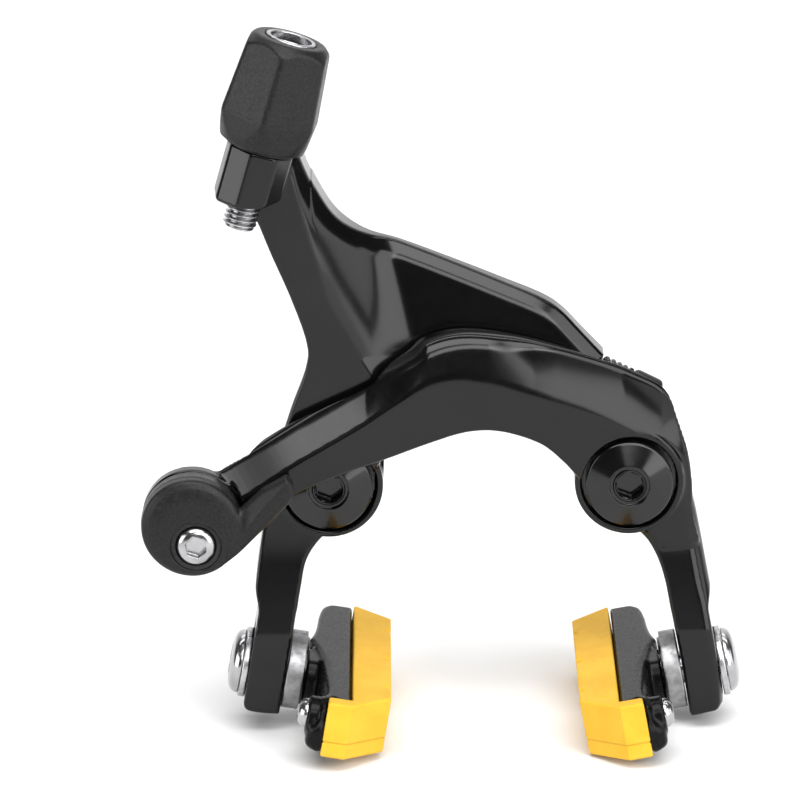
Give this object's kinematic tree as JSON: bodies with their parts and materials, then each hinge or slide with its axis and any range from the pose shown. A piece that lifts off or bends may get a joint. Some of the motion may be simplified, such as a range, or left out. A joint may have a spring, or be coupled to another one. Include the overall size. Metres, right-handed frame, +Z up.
{
  "type": "rim brake caliper",
  "caption": "Dual-arm direct-mount bicycle rim brake with barrel adjuster, cable release lever and cartridge pads on curved black arms.",
  "frame": {"origin": "midway between the two pivot bolts' axes on the flat mounting face", "axes": "+X right and +Z up as seen from the front of the brake, +Y backwards into the frame or fork along the pivot bolts"},
  "size_m": [0.1082, 0.055, 0.1322],
  "materials": {
    "gloss_black_arm": "gloss",
    "black_plate": "satin",
    "black_steel": "gloss",
    "bare_steel": "satin",
    "bright_steel": "polished",
    "satin_aluminium": "satin",
    "spring_steel": "satin",
    "bronze": "satin",
    "nylon": "matte",
    "black_plastic": "fine grain",
    "shoe_plastic": "semi-gloss",
    "black_rubber": "matte",
    "yellow_compound": "matte"
  },
  "bodies": {
    "mount": {"back_plate": "black_plate", "pivot_bolt_left": "black_steel", "pivot_bolt_right": "black_steel", "pivot_sleeve_left": "bare_steel", "pivot_sleeve_right": "bare_steel", "front_washers": "black_steel", "back_washers": "nylon", "return_spring_left": "spring_steel", "return_spring_right": "spring_steel"},
    "cable_side": {"cable_arm": "gloss_black_arm", "cable_arm_bush": "bronze", "adjuster_washer": "nylon", "stop_screw_spring": "spring_steel"},
    "anchor_side": {"anchor_arm": "gloss_black_arm", "anchor_arm_bush": "bronze", "roller_pin": "bare_steel"},
    "roller": {"sync_roller": "bare_steel"},
    "barrel": {"barrel_screw": "bright_steel"},
    "knob": {"adjuster_knob": "black_plastic", "adjuster_nut": "bronze"},
    "stop": {"stop_screw": "black_steel", "stop_screw_cap": "black_plastic"},
    "release": {"release_lever": "black_plastic", "anchor_bolt": "bright_steel", "release_clip": "bare_steel", "cable_clamp": "bare_steel", "clamp_nut": "bare_steel", "anchor_gasket": "black_rubber"},
    "left_pad_carrier": {"flat_washer_left": "bright_steel", "concave_washer_left": "satin_aluminium"},
    "left_pad": {"pad_bolt_left": "bright_steel", "convex_washer_left": "black_steel", "pad_shoe_left": "shoe_plastic", "pad_insert_left": "yellow_compound", "insert_screw_left": "bright_steel"},
    "right_pad_carrier": {"flat_washer_right": "bright_steel", "concave_washer_right": "satin_aluminium"},
    "right_pad": {"pad_bolt_right": "bright_steel", "convex_washer_right": "black_steel", "pad_shoe_right": "shoe_plastic", "pad_insert_right": "yellow_compound", "insert_screw_right": "bright_steel"}
  },
  "joints": [
    {"name": "cable_arm_pivot", "type": "hinge", "parent": "mount", "child": "cable_side", "pos_m": [-0.027, 0, 0], "axis": [0, -1, 0], "range_deg": [0, 14], "stiffness_Nm_per_rad": 1, "springref_deg": -28.65, "deforming": ["return_spring_left"]},
    {"name": "anchor_arm_pivot", "type": "hinge", "parent": "mount", "child": "anchor_side", "pos_m": [0.027, 0, 0], "axis": [0, 1, 0], "range_deg": [0, 14], "deforming": ["return_spring_right"]},
    {"name": "roller_spin", "type": "hinge", "parent": "anchor_side", "child": "roller", "pos_m": [0, -0.009, 0.02], "axis": [0, 1, 0], "continuous": true},
    {"name": "knob_turn", "type": "hinge", "parent": "cable_side", "child": "knob", "pos_m": [-0.03659, -0.02, 0.0687], "axis": [0.2807, 0, 0.9598], "range_deg": [-2160, 0]},
    {"name": "barrel_travel", "type": "slide", "parent": "cable_side", "child": "barrel", "axis": [0.2807, 0, 0.9598], "range_m": [0, 0.006]},
    {"name": "stop_screw_turn", "type": "hinge", "parent": "cable_side", "child": "stop", "pos_m": [0.0213, -0.009, 0.0196], "axis": [0.891, 0, -0.454], "range_deg": [-180, 180]},
    {"name": "release_turn", "type": "hinge", "parent": "anchor_side", "child": "release", "pos_m": [-0.0513, -0.024, -0.0029], "axis": [0, 1, 0], "range_deg": [0, 110]},
    {"name": "left_pad_height", "type": "slide", "parent": "cable_side", "child": "left_pad_carrier", "axis": [0.1736, 0, 0.9848], "range_m": [-0.001, 0.005]},
    {"name": "left_pad_swivel", "type": "hinge", "parent": "left_pad_carrier", "child": "left_pad", "pos_m": [-0.0354, -0.009, -0.0368], "axis": [0.9848, 0, -0.1736], "range_deg": [-12, 12]},
    {"name": "right_pad_height", "type": "slide", "parent": "anchor_side", "child": "right_pad_carrier", "axis": [-0.1736, 0, 0.9848], "range_m": [-0.001, 0.005]},
    {"name": "right_pad_swivel", "type": "hinge", "parent": "right_pad_carrier", "child": "right_pad", "pos_m": [0.0368, -0.009, -0.0376], "axis": [-0.9848, 0, -0.1736], "range_deg": [-12, 12]}
  ],
  "couplings": [
    {"joint": "anchor_arm_pivot", "follows": "cable_arm_pivot", "ratio": 1},
    {"joint": "barrel_travel", "follows": "knob_turn", "m_per_rad": -0.00015915}
  ]
}
